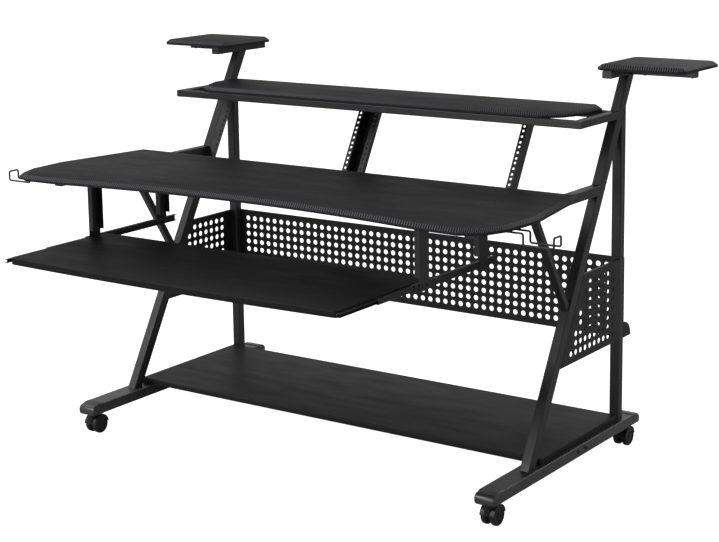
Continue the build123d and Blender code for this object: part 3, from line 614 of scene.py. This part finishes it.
def made_at(name, tree, spots, finish, body, slot, **sizes):
    """Runs a geometry tree on points; each spot is (place, direction that the piece faces)."""
    mesh = bpy.data.meshes.new(name)
    mesh.from_pydata([spot for spot, facing in spots], [], [])
    aim = mesh.attributes.new("facing", "FLOAT_VECTOR", "POINT")
    for number, (spot, facing) in enumerate(spots):
        aim.data[number].vector = facing
    obj = new_object(name, mesh)
    grown = obj.modifiers.new("grown", "NODES")
    grown.node_group = tree
    sockets = {item.name: item.identifier for item in tree.interface.items_tree if item.in_out == "INPUT"}
    for label, value in sizes.items():
        grown[sockets[label.replace("_", " ")]] = value
    grown[sockets["Finish"]] = finish
    settle(obj)
    obj.data.shade_smooth()
    obj.data.set_sharp_from_angle(angle=radians(35.0))
    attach(obj, body)
    return obj


# ---------------------------------------------------------------- button screws, rivets and hubs
BRACKET_ARM_AT = 0.120         # middle of a bracket's side arm, behind its front end
ARM_SCREWS = (0.012, 0.14)     # in from the arm's outer end
BAR_SCREWS = (0.03, 0.19)      # behind the bar's front end
PANEL_SCREWS = (0.1, 0.5, 0.9)  # shares of the panel's height
RIVET_STEP = 0.010
RIVET_RISE = 0.0115            # above a hanger's lower end
HUB_SINK = 0.0013              # spokes' middle, in from the wheel's outer side

panel_low, panel_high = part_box("rear_panel")
heads = []
for side, way in SIDES:
    post_low, post_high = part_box("rear_post_" + side)
    post_x = (post_low.x + post_high.x) / 2.0
    for share in PANEL_SCREWS:
        height = panel_low.z + (panel_high.z - panel_low.z) * share
        heads.append(((post_x, panel_high.y, height), (0.0, 1.0, 0.0)))
    arm_low, arm_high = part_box("top_bracket_" + side)
    outer = arm_high.x if way > 0 else arm_low.x
    for inward in ARM_SCREWS:
        heads.append(((outer - way * inward, arm_low.y + BRACKET_ARM_AT, arm_low.z), (0.0, 0.0, -1.0)))
    for along in BAR_SCREWS:
        heads.append(((post_x, arm_low.y + along, arm_low.z), (0.0, 0.0, -1.0)))
    for end in ENDS:
        hanger_low, hanger_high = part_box("tray_hanger_%s_%s" % (end, side))
        face = hanger_high.x if way > 0 else hanger_low.x
        middle = (hanger_low.y + hanger_high.y) / 2.0
        for step in (-RIVET_STEP, RIVET_STEP):
            heads.append(((face, middle + step, hanger_low.z + RIVET_RISE), (way, 0.0, 0.0)))
made_at("frame_button_screws", SCREWS, heads, screw_steel, "frame", "fastener",
        Head_Radius=0.0045, Head_Height=0.0024, Recess=0.002)

for side, way in SIDES:
    for end in ENDS:
        low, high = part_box("caster_wheels_%s_%s" % (end, side))
        centre = (low + high) / 2.0
        spots = [((low.x + HUB_SINK, centre.y, centre.z), (-1.0, 0.0, 0.0)),
                 ((high.x - HUB_SINK, centre.y, centre.z), (1.0, 0.0, 0.0))]
        made_at("hub_spokes_%s_%s" % (end, side), SPOKES, spots, wheel_plastic,
                "wheels_%s_%s" % (end, side), "caster_tread", Count=6)

# ---------------------------------------------------------------- floor, light and camera
floor_mesh = bpy.data.meshes.new("floor")
floor_mesh.from_pydata([(-30, -30, 0), (30, -30, 0), (30, 30, 0), (-30, 30, 0)], [], [(0, 1, 2, 3)])
floor = bpy.data.objects.new("floor", floor_mesh)
bpy.context.scene.collection.objects.link(floor)
floor_finish = Finish("pale_floor", specular=0.05)
seen = floor_finish.node("ShaderNodeLightPath").outputs["Is Camera Ray"]
floor_finish.shader.inputs["Emission Color"].default_value = (1.0, 1.0, 1.0, 1.0)
floor_finish.feed(floor_finish.shader.inputs["Emission Strength"], seen)
floor_finish.finish((0.5, 0.5, 0.5, 1.0), 0.9)
floor_mesh.materials.append(floor_finish.material)

bpy.context.scene.view_settings.view_transform = "Standard"
world = bpy.data.worlds.new("studio")
bpy.context.scene.world = world
world.use_nodes = True
sky = Wires(world.node_tree)
backdrop = world.node_tree.nodes["Background"]
backdrop.inputs["Color"].default_value = (1.0, 1.0, 1.0, 1.0)
straight = sky.node("ShaderNodeLightPath").outputs["Is Camera Ray"]
sky.feed(backdrop.inputs["Strength"], sky.span(straight, 0.0, 1.0, 0.5, 1.0))


def soft_light(name, place, target, size, power):
    lamp = bpy.data.lights.new(name, "AREA")
    lamp.shape = "RECTANGLE"
    lamp.size, lamp.size_y = size
    lamp.energy = power
    obj = bpy.data.objects.new(name, lamp)
    obj.location = place
    obj.rotation_euler = (Vector(target) - Vector(place)).to_track_quat("-Z", "Y").to_euler()
    bpy.context.scene.collection.objects.link(obj)


soft_light("back", (0.6, 4.2, 3.4), (0.0, 0.2, 0.6), (3.2, 1.2), 36.0)
soft_light("left", (-3.8, 0.2, 3.6), (0.0, 0.0, 0.6), (2.5, 1.5), 22.0)
soft_light("front_left", (-2.6, -3.6, 2.8), (0.0, 0.0, 0.6), (2.0, 1.5), 90.0)
soft_light("front_low", (-0.6, -4.2, 0.9), (0.0, 0.0, 0.4), (2.6, 0.8), 45.0)
soft_light("right_fill", (3.8, -0.5, 1.6), (0.0, 0.0, 0.5), (1.5, 2.0), 7.0)

camera_data = bpy.data.cameras.new("camera")
camera_data.sensor_width = 36.0
camera_data.lens = 86.24
camera_data.shift_y = -0.12
camera = bpy.data.objects.new("camera", camera_data)
camera.location = (2.5733, -3.4593, 1.5024)
camera.rotation_euler = (radians(79.669), radians(0.826), radians(34.969))
bpy.context.scene.collection.objects.link(camera)
bpy.context.scene.camera = camera
